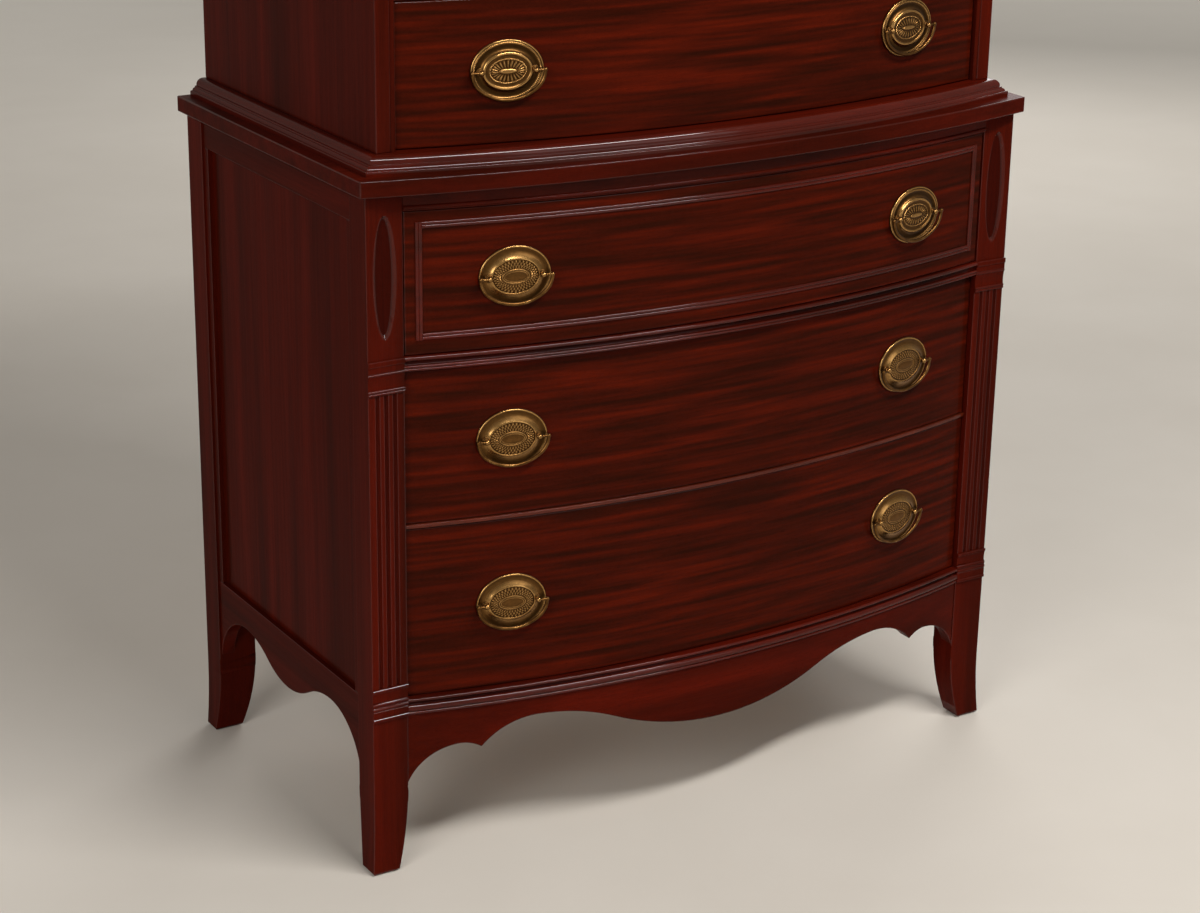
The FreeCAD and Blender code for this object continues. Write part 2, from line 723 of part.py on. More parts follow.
def pull_plate():
    """Dished oval plate with a raised oval in its middle and a hole for each post."""
    rim_z = SEAT_GAP + PLATE_RIM_T
    crest = 2 * PLATE_RIM_SLOPE
    hollow = crest + 2 * PLATE_RIM_FLAT
    rim = [
        ellipse_wire(PLATE_W, PLATE_H, SEAT_GAP),
        ellipse_wire(PLATE_W, PLATE_H, rim_z),
        ellipse_wire(PLATE_W - crest, PLATE_H - crest, PLATE_RISE),
    ]
    dish = [
        ellipse_wire(PLATE_W - hollow, PLATE_H - hollow, PLATE_RISE),
        ellipse_wire(BOSS_W, BOSS_H, rim_z),
    ]
    boss = [
        ellipse_wire(BOSS_W, BOSS_H, SEAT_GAP + PLATE_RIM_T / 2),
        ellipse_wire(BOSS_W - 2 * BOSS_SLOPE, BOSS_H - 2 * BOSS_SLOPE, BOSS_RISE),
    ]
    plate = Part.makeLoft(rim, True, True).cut(Part.makeLoft(dish, True, True))
    plate = plate.fuse(Part.makeLoft(boss, True, True))
    for hole in pull_holes():
        plate = plate.cut(hole)
    return plate


def pull_posts():
    """Each post's ball head holds the bail, and its shank runs through to a nut."""
    inner_r = BOW_R - max(LOWER_SETBACK) - FRONT_T
    nut_edge = POST_SPREAD / 2 + NUT_R
    nut_seat = FRONT_T + inner_r - sqrt(inner_r ** 2 - nut_edge ** 2) + SEAT_GAP
    solids = []
    for x in (-POST_SPREAD / 2, POST_SPREAD / 2):
        post = along_y(POST_SHANK_R, (-POST_REACH, POST_TAIL), x)
        post = post.fuse(Part.makeSphere(POST_HEAD_R, V(x, -POST_REACH, 0)))
        bore_start = V(x - 2 * POST_HEAD_R, -POST_REACH, 0)
        bore_r = BAIL_PIN_R + BAIL_PIN_CLEARANCE
        bore = Part.makeCylinder(bore_r, 4 * POST_HEAD_R, bore_start, V(1, 0, 0))
        nut = along_y(NUT_R, (nut_seat, nut_seat + NUT_T), x)
        nut = nut.cut(along_y(POST_SHANK_R + POST_HOLE_CLEARANCE, (0, POST_TAIL), x))
        solids += [post.cut(bore), nut]
    return solids


def bail():
    """Half-oval wire of tangent arcs, with a ball and an inward pin at each end."""
    half = BAIL_SPREAD / 2
    side_x = half - BAIL_SIDE_R
    bottom_r = (side_x ** 2 + BAIL_DROP ** 2 - BAIL_SIDE_R ** 2) / (2 * (BAIL_DROP - BAIL_SIDE_R))
    bottom_z = bottom_r - BAIL_DROP
    apart = bottom_r - BAIL_SIDE_R
    meet_x = side_x + BAIL_SIDE_R * side_x / apart
    meet_z = -BAIL_SIDE_R * bottom_z / apart
    turn = asin(-meet_z / BAIL_SIDE_R) / 2
    side_mid = (side_x + BAIL_SIDE_R * cos(turn), -BAIL_SIDE_R * sin(turn))

    def spot(x, z):
        return V(x, -POST_REACH, z)

    path = Part.Wire([
        Part.Arc(spot(-half, 0), spot(-side_mid[0], side_mid[1]), spot(-meet_x, meet_z)).toShape(),
        Part.Arc(spot(-meet_x, meet_z), spot(0, -BAIL_DROP), spot(meet_x, meet_z)).toShape(),
        Part.Arc(spot(meet_x, meet_z), spot(side_mid[0], side_mid[1]), spot(half, 0)).toShape(),
    ])
    section = Part.Wire(Part.Circle(spot(-half, 0), V(0, 0, 1), BAIL_WIRE_R).toShape())
    shape = path.makePipeShell([section], True, True)
    pin_length = half - POST_SPREAD / 2 + POST_HEAD_R
    for end in (-half, half):
        shape = shape.fuse(Part.makeSphere(BAIL_BALL_R, spot(end, 0)))
        start = end if end < 0 else end - pin_length
        shape = shape.fuse(Part.makeCylinder(BAIL_PIN_R, pin_length, spot(start, 0), V(1, 0, 0)))
    return shape


def seated(shapes, x, setback, z):
    """Pull pieces, turned square to the bowed face and set on it at (x, z)."""
    angle = degrees(asin(x / (BOW_R - setback)))
    placed = []
    for shape in shapes:
        piece = shape.copy()
        piece.rotate(V(0, 0, 0), V(0, 0, 1), angle)
        piece.translate(V(x, bow_y(x, setback), z))
        placed.append(piece)
    return placed


def face_bead(half, setback, z_span):
    """Slim frame of four strips on a drawer's face, each of two reeds. The level strips
    stand between the uprights."""
    width = BEAD_REEDS * BEAD_REED_W
    outer_x = half - BEAD_INSET
    low, high = z_span[0] + BEAD_FOOT_INSET, z_span[1] - BEAD_INSET
    seat = setback - SEAT_GAP
    top = seat - BEAD_BASE_T
    offsets = [(number + 1) * BEAD_REED_W for number in range(BEAD_REEDS)]

    def level(z):
        profile = [(seat, z), (top, z)]
        for end in offsets:
            crest = (top - BEAD_SWELL, z + end - BEAD_REED_W / 2)
            profile.append((crest, (top, z + end)))
        return bowed(profile + [(seat, z + width)], outer_x - width)

    def upright(x):
        steps = [(x, bow_y(x, seat)), (x, bow_y(x, top))]
        for end in offsets:
            crest_x = x + end - BEAD_REED_W / 2
            crest = (crest_x, bow_y(crest_x, top - BEAD_SWELL))
            steps.append((crest, (x + end, bow_y(x + end, top))))
        strip = outline(steps + [(x + width, bow_y(x + width, seat))], plan_view)
        strip.translate(V(0, 0, low))
        return strip.extrude(V(0, 0, high - low)).cut(inside_bow(seat, z_span))

    return both_sides(upright(-outer_x)) + [level(low), level(high - width)]


def make_drawer(name, half, box_half, setback, seat, height, box_back):
    """Exports one drawer: its front, its box, its pulls and their two bails."""
    z_span = (seat + DRAWER_GAP, seat + DRAWER_GAP + height)
    middle = (z_span[0] + z_span[1]) / 2
    box_z = (seat + RUNNER_GAP, z_span[1] - BOX_BELOW_FRONT)
    pull_x = half - PULL_INSET
    holes = [drawer_bottom(box_half, setback, box_back, box_z[0], GROOVE_CLEARANCE)]
    plates = []
    for side, x in (("left", -pull_x), ("right", pull_x)):
        holes += seated(pull_holes(), x, setback, middle)
        plates += seated([pull_plate()] + pull_posts(), x, setback, middle)
        export(name + "_bail_" + side, seated([bail()], x, setback, middle))
    export(name + "_front", [drawer_front(half, setback, z_span, holes)])
    export(name + "_box", drawer_box(box_half, setback, box_back, box_z))
    export(name + "_pulls", plates)
    return z_span


os.makedirs("parts", exist_ok=True)

# Lower case
for name, post in (("front_post", front_post_left()), ("rear_post", rear_post_left())):
    export(name + "_left", [post])
    export(name + "_right", [mirrored(post)])
frame_left = side_frame_left()
export("side_frame_left", frame_left)
export("side_frame_right", [mirrored(piece) for piece in frame_left])
export("side_panel_left", [grown_panel(0)])
export("side_panel_right", [mirrored(grown_panel(0))])
export("front_apron", [front_apron()])
export("corner_blocks", corner_blocks())
export("base_rail", [moulded_rail(BASE_RAIL, LEG_H)])
divider_span = (DIVIDER_Z, DIVIDER_Z + DIVIDER_T)
export("lower_divider", [bowed_bar(OPENING_HALF, DIVIDER_SETBACK, RAIL_DEPTH, divider_span)])
export("parting_rail", [moulded_rail(PARTING_RAIL, PARTING_RAIL_Z)])
export("lower_top_rail", [moulded_rail(LOWER_TOP_RAIL, TOP_RAIL_Z)])
export("lower_runners", lower_runners())
export("lower_back", lower_back())
board_span = (BOARD_Z, BOARD_TOP)
waist_board = bow_board(BOARD_W / 2, BOARD_END_Y, FRONT_APEX_Y, BOARD_BACK_Y, board_span)
export("waist_board", [waist_board])

# Upper case
export("waist_moulding", corner_moulding(WAIST, BOARD_TOP))
export("upper_bottom", [upper_board(0, (BOARD_TOP, UPPER_FLOOR))])
export("upper_side_left", [upper_side_left()])
export("upper_side_right", [mirrored(upper_side_left())])
export("upper_edge_beads", upper_edge_beads())
divider_setback = UPPER_RAIL_SETBACK + UPPER_DIVIDER_SETBACK
export("upper_dividers", [
    bowed_bar(UPPER_OPENING, divider_setback, RAIL_DEPTH, (z, z + UPPER_DIVIDER_T))
    for z in (UPPER_DIVIDER_1_Z, UPPER_DIVIDER_2_Z)
])
rail_span = (UPPER_RAIL_Z, SUB_TOP_Z)
export("upper_top_rail", [bowed_bar(UPPER_OPENING, UPPER_RAIL_SETBACK, RAIL_DEPTH, rail_span)])
export("upper_runners", upper_runners())
upper_back_span = (UPPER_BACK_Y, UPPER_BACK_Y + BACK_T)
export("upper_back", [block((-UPPER_INNER, UPPER_INNER), upper_back_span, (UPPER_FLOOR, SUB_TOP_Z))])
export("upper_sub_top", [upper_board(0, (SUB_TOP_Z, TOP_Z))])
export("cornice", corner_moulding(CORNICE, SUB_TOP_Z))
export("top_board", [upper_board(TOP_BOARD_LIP, (TOP_Z, TOP_Z + TOP_BOARD_T))])

# Drawers, from the bottom up in each case
PLACES = ("bottom", "middle", "top")
lower_half = OPENING_HALF - DRAWER_SIDE_GAP
for place, seat, height, setback in zip(PLACES, LOWER_SEATS, LOWER_FRONT_H, LOWER_SETBACK):
    name = "lower_drawer_" + place
    face_z = make_drawer(name, lower_half, LOWER_BOX_HALF, setback, seat, height, LOWER_BOX_BACK)
    if place == "top":
        export(name + "_bead", face_bead(lower_half, setback, face_z))
upper_half = UPPER_OPENING - DRAWER_SIDE_GAP
upper_setback = UPPER_RAIL_SETBACK + UPPER_SETBACK
for place, seat, height in zip(PLACES, UPPER_SEATS, UPPER_FRONT_H):
    name = "upper_drawer_" + place
    make_drawer(name, upper_half, UPPER_BOX_HALF, upper_setback, seat, height, UPPER_BOX_BACK)
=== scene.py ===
import json
from math import atan2, cos, hypot, pi, radians, sin

import bmesh
import bpy
from mathutils import Matrix, Vector


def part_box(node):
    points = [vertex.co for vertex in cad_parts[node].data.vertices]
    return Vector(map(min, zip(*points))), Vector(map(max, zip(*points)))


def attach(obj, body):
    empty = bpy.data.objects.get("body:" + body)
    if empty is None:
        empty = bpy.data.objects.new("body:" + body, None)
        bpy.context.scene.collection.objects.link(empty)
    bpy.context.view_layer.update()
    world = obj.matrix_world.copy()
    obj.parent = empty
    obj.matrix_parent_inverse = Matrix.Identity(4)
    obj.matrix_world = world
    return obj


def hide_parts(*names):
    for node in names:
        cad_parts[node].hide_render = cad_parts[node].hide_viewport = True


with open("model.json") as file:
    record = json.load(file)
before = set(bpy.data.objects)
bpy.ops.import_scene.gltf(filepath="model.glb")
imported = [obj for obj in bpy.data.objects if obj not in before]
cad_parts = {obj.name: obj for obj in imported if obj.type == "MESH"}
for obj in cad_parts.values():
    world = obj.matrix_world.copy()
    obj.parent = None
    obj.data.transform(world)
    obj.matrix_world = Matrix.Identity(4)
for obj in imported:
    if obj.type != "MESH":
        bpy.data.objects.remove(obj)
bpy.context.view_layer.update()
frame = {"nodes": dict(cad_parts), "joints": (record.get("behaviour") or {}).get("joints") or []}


# Front posts: each is one length of mahogany from the floor to the waist board, with a sunk oval,
# a moulded capital, three flutes, a moulded plinth and a splayed leg. Rails and side frames are
# glued into it, its long edges are rubbed down, and it is stained and lacquered. Its sunk oval
# and flutes are darkened with painted shade, the more the deeper they lie.
weld = 0.00004
flat_turn = radians(0.05)
sharp_turn = radians(35)


def join_triangles(shape):
    """Merge loose triangles into whole flat faces, up to the edges that are marked as seams."""
    bmesh.ops.dissolve_limit(
        shape,
        angle_limit=flat_turn,
        use_dissolve_boundaries=False,
        verts=shape.verts,
        edges=shape.edges,
        delimit={"SEAM"},
    )


def whole_faces(node, split_x=None):
    """Copy of a node's shape with whole faces. A face that runs round a hollow is first split,
    by an upright plane through the hollow's middle."""
    shape = bmesh.new()
    shape.from_mesh(frame["nodes"][node].data)
    bmesh.ops.remove_doubles(shape, verts=shape.verts, dist=weld)
    if split_x is not None:
        cut = bmesh.ops.bisect_plane(
            shape,
            geom=shape.verts[:] + shape.edges[:] + shape.faces[:],
            plane_co=(split_x, 0, 0),
            plane_no=(1, 0, 0),
        )
        for part in cut["geom_cut"]:
            if isinstance(part, bmesh.types.BMEdge):
                part.seam = True
    join_triangles(shape)
    return shape


def rub_down(shape, radius, shortest=0.0, clamp=True, spared=()):
    """Round the outward edges that are at least so long, apart from the spared ones. The rounded
    faces are noted, because hands and cloths polish them most."""
    polish = shape.faces.layers.float.new("polish")
    arrises = [
        edge
        for edge in shape.edges
        if edge.is_manifold
        and edge.is_convex
        and edge.calc_face_angle() > sharp_turn
        and edge.calc_length() >= shortest
        and edge not in spared
    ]
    rounded = bmesh.ops.bevel(
        shape,
        geom=arrises,
        offset=radius,
        offset_type="OFFSET",
        affect="EDGES",
        segments=3,
        profile=0.5,
        material=-1,
        clamp_overlap=clamp,
    )
    for face in rounded["faces"]:
        face[polish] = 1


def finished(name, shape, finish, body, *nodes, crease=40):
    """Make a shape into a piece that moves with the body and stands for these nodes. Edges that
    turn by more than the crease, in degrees, stay sharp."""
    mesh = bpy.data.meshes.new(name)
    shape.to_mesh(mesh)
    shape.free()
    mesh.shade_smooth()
    mesh.set_sharp_from_angle(angle=radians(crease))
    mesh.materials.append(finish)
    piece = bpy.data.objects.new(name, mesh)
    bpy.context.scene.collection.objects.link(piece)
    even = piece.modifiers.new("even_shading", "WEIGHTED_NORMAL")
    even.keep_sharp = True
    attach(piece, body)
    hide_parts(*nodes)
    return piece


def ramp(tree, value, *stops):
    """Colour that runs through (position, colour) stops as the value grows."""
    node = tree.nodes.new("ShaderNodeValToRGB")
    scale = node.color_ramp.elements
    while len(scale) < len(stops):
        scale.new(1.0)
    for mark, (position, colour) in zip(scale, stops):
        mark.position = position
        mark.color = (*colour, 1)
    tree.links.new(value, node.inputs["Fac"])
    return node.outputs["Color"]


def stained(tree, under, over):
    """One colour seen through another."""
    node = tree.nodes.new("ShaderNodeMix")
    node.data_type = "RGBA"
    node.blend_type = "MULTIPLY"
    node.inputs["Factor"].default_value = 1
    tree.links.new(under, node.inputs["A"])
    tree.links.new(over, node.inputs["B"])
    return node.outputs["Result"]


def new_finish(name):
    """A new material, with its tree and its shader."""
    finish = bpy.data.materials.new(name)
    finish.use_nodes = True
    tree = finish.node_tree
    return finish, tree, tree.nodes["Principled BSDF"]


def spot_on_piece(tree):
    """Place on the piece, in metres."""
    return tree.nodes.new("ShaderNodeTexCoord").outputs["Object"]


def noted(tree, name):
    """What the piece's own attribute of this name says, and 0 where it has none."""
    node = tree.nodes.new("ShaderNodeAttribute")
    node.attribute_name = name
    return node.outputs["Fac"]


def share_between(tree, value, low, high):
    """How far the value is from low to high, from 0 to 1."""
    node = tree.nodes.new("ShaderNodeMapRange")
    node.inputs["From Min"].default_value = low
    node.inputs["From Max"].default_value = high
    tree.links.new(value, node.inputs["Value"])
    return node


def raise_grain(tree, shader, height, strength, distance):
    """Let the surface follow the fibres."""
    relief = tree.nodes.new("ShaderNodeBump")
    relief.inputs["Strength"].default_value = strength
    relief.inputs["Distance"].default_value = distance
    tree.links.new(height, relief.inputs["Height"])
    tree.links.new(relief.outputs["Normal"], shader.inputs["Normal"])


def fibres(tree, counts, detail, warp):
    """Noise with so many grains to the metre along each axis, drawn out where they are few."""
    stretch = tree.nodes.new("ShaderNodeMapping")
    stretch.inputs["Scale"].default_value = counts
    tree.links.new(spot_on_piece(tree), stretch.inputs["Vector"])
    noise = tree.nodes.new("ShaderNodeTexNoise")
    noise.inputs["Scale"].default_value = 1
    noise.inputs["Detail"].default_value = detail
    noise.inputs["Roughness"].default_value = 0.55
    noise.inputs["Distortion"].default_value = warp
    tree.links.new(stretch.outputs["Vector"], noise.inputs["Vector"])
    return noise.outputs["Fac"]


def grey(level):
    """Colour with this level in red, green and blue."""
    return (level, level, level)


def grain(axis, along, across):
    """Grains to the metre on each axis where the fibres run along one of them."""
    return [along if number == axis else across for number in range(3)]


polished_coat = 0.5


def mahogany(name, axis, bands, tones, gloss, coat=0.05, streak=0.78, shaded_hollows=None, cove=None):
    """Stained mahogany with fibres along an axis, dark pores and a lacquered face. The bands are
    its figure, as a noise in its tree makes them; tones run from dark to bright, and streak is
    how far the fine streaks darken them. A piece's own attribute may be named, by which its
    hollows get painted shade, darker the deeper they lie; cove gives the heights between which a
    rail is hollow, with painted shade in its colour and a dull coat."""
    wood, tree, shader = new_finish(name)
    dark, middle, bright = tones
    figure = fibres(tree, *bands)
    streaks = fibres(tree, grain(axis, 5, 210), 3, 0.3)
    strands = fibres(tree, grain(axis, 22, 1100), 2, 0)
    pores = fibres(tree, grain(axis, 75, 2300), 1, 0)
    colour = ramp(tree, figure, (0.3, dark), (0.5, middle), (0.72, bright))
    colour = stained(tree, colour, ramp(tree, streaks, (0.3, grey(streak)), (0.66, grey(1))))
    colour = stained(tree, colour, ramp(tree, strands, (0.34, grey(0.86)), (0.6, grey(1))))
    colour = stained(tree, colour, ramp(tree, pores, (0.62, grey(1)), (0.72, grey(0.6))))
    # Painted shade: a piece's hollows are darkened in colour, the more the deeper they lie.
    if shaded_hollows:
        shade = ramp(tree, noted(tree, shaded_hollows), (0.35, grey(1)), (1, grey(0.52)))
        colour = stained(tree, colour, shade)
    lacquer = ramp(tree, noted(tree, "polish"), (0, grey(coat)), (1, grey(polished_coat)))
    # Painted shade in a rail's cove: between the cove heights its colour is darkened to a third, and
    # its coat is dulled.
    if cove:
        axes = tree.nodes.new("ShaderNodeSeparateXYZ")
        tree.links.new(spot_on_piece(tree), axes.inputs["Vector"])
        height = share_between(tree, axes.outputs["Z"], *cove)
        cove_dulling_and_shade = ((0, grey(1)), (0.08, grey(0.2)), (0.9, grey(0.2)), (1, grey(1)))
        dull_and_shade = ramp(tree, height.outputs["Result"], *cove_dulling_and_shade)
        lacquer = stained(tree, lacquer, dull_and_shade)
        colour = stained(tree, colour, ramp(tree, dull_and_shade, (0, grey(0.3)), (1, grey(1))))
    tree.links.new(colour, shader.inputs["Base Color"])
    sheen = ramp(tree, streaks, (0.3, grey(gloss + 0.1)), (0.7, grey(gloss)))
    tree.links.new(sheen, shader.inputs["Roughness"])
    raise_grain(tree, shader, strands, 0.12, 0.0003)
    shader.inputs["Specular IOR Level"].default_value = 0.01
    shader.inputs["Specular Tint"].default_value = (1.0, 0.5, 0.38, 1)
    shader.inputs["Coat Weight"].default_value = coat
    tree.links.new(lacquer, shader.inputs["Coat Weight"])
    shader.inputs["Coat Roughness"].default_value = 0.09
    return wood


case_tones = ((0.040, 0.0040, 0.0014), (0.066, 0.0050, 0.0016), (0.094, 0.0062, 0.0019))
upright_figure = (grain(2, 0.9, 24), 2, 0.3)
upright_wood = mahogany("mahogany_upright", 2, upright_figure, case_tones, 0.3)
post_wood = mahogany("mahogany_post", 2, upright_figure, case_tones, 0.3, shaded_hollows="painted_shade")
post_radius = 0.0009
post_shortest = 0.012
post_crease = 18
post_half_w = 0.0225
oval_margin = 0.004
hollow_depth = 0.003
hollow_limit = 0.008
face_slack = 0.0001
oval_floor_slope = 0.95
ledge_slope = 0.25
head_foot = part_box("parting_rail")[1].z
for side, sign in (("left", -1), ("right", 1)):
    node = "front_post_" + side
    inner_x = min(abs(corner.x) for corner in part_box(node))
    middle_x = sign * (inner_x + post_half_w)
    shape = whole_faces(node, split_x=middle_x)
    oval = {
        edge
        for edge in shape.edges
        if all(
            vertex.co.z > head_foot and abs(vertex.co.x - middle_x) < post_half_w - oval_margin
            for vertex in edge.verts
        )
    }
    face_y = min(vertex.co.y for edge in oval for vertex in edge.verts)
    rub_down(shape, post_radius, shortest=post_shortest, clamp=False, spared=oval)
    # Painted shade in the sunk oval and the flutes: each corner notes how deep it lies behind the
    # face, and its colour darkens with that depth.
    painted_shade = shape.verts.layers.float.new("painted_shade")
    for vertex in shape.verts:
        depth = vertex.co.y - face_y
        if abs(vertex.co.x - middle_x) < post_half_w - oval_margin and depth < hollow_limit:
            vertex[painted_shade] = min(max(depth / hollow_depth, 0), 1)
    polish = shape.faces.layers.float["polish"]
    for face in shape.faces:
        middle = face.calc_center_median()
        across = abs(middle.x - middle_x) < post_half_w - oval_margin
        hollowed = across and middle.z > head_foot and face_slack < middle.y - face_y < hollow_limit
        oval_wall = hollowed and abs(face.normal.y) < oval_floor_slope
        if oval_wall or abs(face.normal.z) > ledge_slope:
            face[polish] = 1
    post = finished(node + "_lacquered", shape, post_wood, "case", node, crease=post_crease)


# Rear posts: plain uprights that run down into legs, splayed sideways and hollowed on their inner
# sides. They are of the same mahogany; side frames and back are glued and screwed to them.
for side in ("left", "right"):
    node = "rear_post_" + side
    shape = whole_faces(node)
    rub_down(shape, post_radius, shortest=post_shortest, clamp=False)
    post = finished(node + "_lacquered", shape, upright_wood, "case", node)


# Side panels: thin mahogany boards of upright grain that float in the grooves of the side frames,
# sunk behind them, so that the frame throws a shadow line round each panel.
panel_tongue = 0.006
panel_radius = 0.0004
for side in ("left", "right"):
    node = "side_panel_" + side
    low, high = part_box(node)
    size = high - low
    shape = whole_faces(node)
    bmesh.ops.scale(
        shape,
        vec=(1, 1 - 2 * panel_tongue / size.y, 1 - 2 * panel_tongue / size.z),
        space=Matrix.Translation(-(low + high) / 2),
        verts=shape.verts,
    )
    rub_down(shape, panel_radius)
    panel = finished(node + "_lacquered", shape, upright_wood, "case", node)


# Side frames: four boards round each panel, glued between the posts. The rails' grain runs
# from front to back and the stiles' upright; the bottom rail is sawn to a scalloped edge.
depthwise_figure = (grain(1, 1.2, 26), 2, 0.3)
depthwise_wood = mahogany("mahogany_depthwise", 1, depthwise_figure, case_tones, 0.3)
board_radius = 0.0008


def frame_board(node, sign, y_span, z_span):
    """One board of a side frame: the part of the frame's outer face that lies in these spans,
    made as thick as the frame."""
    low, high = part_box(node)
    face_x = sign * max(abs(low.x), abs(high.x))
    shape = bmesh.new()
    shape.from_mesh(frame["nodes"][node].data)
    others = []
    for face in shape.faces:
        middle = face.calc_center_median()
        outer = all(abs(vertex.co.x - face_x) < weld / 2 for vertex in face.verts)
        inside = y_span[0] < middle.y < y_span[1] and z_span[0] < middle.z < z_span[1]
        if not (outer and inside):
            others.append(face)
    bmesh.ops.delete(shape, geom=others, context="FACES")
    bmesh.ops.remove_doubles(shape, verts=shape.verts, dist=weld)
    join_triangles(shape)
    back = bmesh.ops.extrude_face_region(shape, geom=shape.faces[:])["geom"]
    back = [part for part in back if isinstance(part, bmesh.types.BMVert)]
    bmesh.ops.translate(shape, vec=(-sign * (high.x - low.x), 0, 0), verts=back)
    bmesh.ops.recalc_face_normals(shape, faces=shape.faces)
    return shape


for side, sign in (("left", -1), ("right", 1)):
    node = "side_frame_" + side
    low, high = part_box(node)
    panel_low, panel_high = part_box("side_panel_" + side)
    rail_top = panel_low.z + panel_tongue
    rail_foot = panel_high.z - panel_tongue
    middle_y = (low.y + high.y) / 2
    for part, finish, y_span, z_span in (
        ("top_rail", depthwise_wood, (low.y, high.y), (rail_foot, high.z)),
        ("bottom_rail", depthwise_wood, (low.y, high.y), (low.z, rail_top)),
        ("front_stile", upright_wood, (low.y, middle_y), (rail_top, rail_foot)),
        ("rear_stile", upright_wood, (middle_y, high.y), (rail_top, rail_foot)),
    ):
        shape = frame_board(node, sign, y_span, z_span)
        rub_down(shape, board_radius)
        board = finished(node + "_" + part, shape, finish, "case", node)


# Front apron: a bowed board with a scalloped lower edge, sawn and rubbed smooth, glued between
# the front posts under the base rail.
level_figure = (grain(0, 1.2, 26), 2, 0.3)
level_wood = mahogany("mahogany_level", 0, level_figure, case_tones, 0.3)
apron_radius = 0.001
shape = whole_faces("front_apron")
rub_down(shape, apron_radius)
apron = finished("front_apron_lacquered", shape, level_wood, "case", "front_apron")


# Rails: bowed mahogany rails between the posts, with beads run along their fronts and a cove in
# two of them, whose coat is dulled and whose colour is darkened with painted shade. The thin
# divider under the middle drawer is of a redder wood, its edge rubbed.
moulded_gloss = 0.24
moulded_coat = 0.5
coves = {"base_rail": (0.0118, 0.0160), "parting_rail": (0.0062, 0.0121)}
for node, (cove_foot, cove_top) in coves.items():
    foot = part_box(node)[0].z
    frame["nodes"][node].data.materials[0] = mahogany(
        "mahogany_" + node,
        0,
        level_figure,
        case_tones,
        moulded_gloss,
        coat=moulded_coat,
        cove=(foot + cove_foot, foot + cove_top),
    )
frieze_wood = mahogany("mahogany_frieze", 0, level_figure, case_tones, 0.28, coat=0.14)
frame["nodes"]["lower_top_rail"].data.materials[0] = frieze_wood
divider_tones = ((0.060, 0.0080, 0.0028), (0.095, 0.0125, 0.0042), (0.130, 0.0180, 0.0060))
divider_figure = (grain(0, 3, 60), 2, 0.3)
divider_wood = mahogany("mahogany_divider", 0, divider_figure, divider_tones, 0.3, coat=0.5)
divider_radius = 0.0007
shape = whole_faces("lower_divider")
rub_down(shape, divider_radius)
divider = finished("lower_divider_lacquered", shape, divider_wood, "case", "lower_divider")


# Linings: runners, guides, glue blocks and backs are of a plain pale secondary wood, left bare,
# planed but not polished, glued or screwed inside the cases where they don't show.
def bare_wood(name, axis, tones):
    """Plain planed wood with fibres along an axis, between two tones."""
    wood, tree, shader = new_finish(name)
    rings = fibres(tree, grain(axis, 0.9, 26), 3, 0.9)
    streaks = fibres(tree, grain(axis, 9, 420), 3, 0.2)
    colour = ramp(tree, rings, (0.35, tones[0]), (0.62, tones[1]))
    colour = stained(tree, colour, ramp(tree, streaks, (0.3, grey(0.72)), (0.6, grey(1))))
    tree.links.new(colour, shader.inputs["Base Color"])
    dullness = ramp(tree, streaks, (0.3, grey(0.72)), (0.7, grey(0.6)))
    tree.links.new(dullness, shader.inputs["Roughness"])
    raise_grain(tree, shader, streaks, 0.25, 0.0004)
    return wood


lining_tones = ((0.30, 0.165, 0.075), (0.43, 0.26, 0.125))
lining_depthwise = bare_wood("lining_depthwise", 1, lining_tones)
lining_upright = bare_wood("lining_upright", 2, lining_tones)
for node in ("lower_runners", "upper_runners"):
    frame["nodes"][node].data.materials[0] = lining_depthwise
for node in ("corner_blocks", "lower_back", "upper_back"):
    frame["nodes"][node].data.materials[0] = lining_upright


# Waist board: the lower case's top, a single bowed board of mahogany with softened edges, screwed
# down on the posts and rails.
waist_radius = 0.0015
shape = whole_faces("waist_board")
rub_down(shape, waist_radius)
board = finished("waist_board_lacquered", shape, level_wood, "case", "waist_board")


# Waist moulding: a bowed length and two returns, run with a roll, two small beads, a cove and a
# fillet, mitred at the corners and glued on the waist board round the foot of the upper case.
def bow_axis():
    """Depth of the upright axis that every bowed front curves about, from the thin divider."""
    corners = [vertex.co for vertex in frame["nodes"]["lower_divider"].data.vertices]
    half = max(corner.x for corner in corners)
    apex = min(corner.y for corner in corners)
    end = min(corner.y for corner in corners if corner.x > half - face_slack)
    bow = end - apex
    return apex + (half ** 2 + bow ** 2) / (2 * bow)


axis_y = bow_axis()
overrun = 1.12


def saw_off(shape, place, outward):
    """Cut off what lies outward of a plane, and close the cut."""
    bmesh.ops.bisect_plane(
        shape,
        geom=shape.verts[:] + shape.edges[:] + shape.faces[:],
        plane_co=place,
        plane_no=outward,
        clear_outer=True,
    )
    bmesh.ops.holes_fill(shape, edges=[edge for edge in shape.edges if edge.is_boundary], sides=0)
    bmesh.ops.recalc_face_normals(shape, faces=shape.faces)


def spun_bar(outline, half, steps, end_y=0.0, mitre=0.0):
    """Sweep a closed outline of (depth, height) spots round the bow, a little too far, and saw off
    its ends by upright planes at half, square to the width or turned by the mitre's angle."""
    shape = bmesh.new()
    spots = [shape.verts.new((0, depth, height)) for depth, height in outline]
    loop = [shape.edges.new(pair) for pair in zip(spots, spots[1:] + spots[:1])]
    turn = Matrix.Translation((0, axis_y, 0))
    reach = axis_y - max(depth for depth, height in outline)
    sweep = overrun * half / reach
    start = turn @ Matrix.Rotation(-sweep, 4, "Z") @ turn.inverted()
    bmesh.ops.transform(shape, matrix=start, verts=shape.verts)
    bmesh.ops.spin(
        shape,
        geom=spots + loop,
        cent=(0, axis_y, 0),
        axis=(0, 0, 1),
        angle=2 * sweep,
        steps=steps,
    )
    for sign in (-1, 1):
        saw_off(shape, (sign * half, end_y, 0), (sign * cos(mitre), sin(mitre), 0))
    return shape


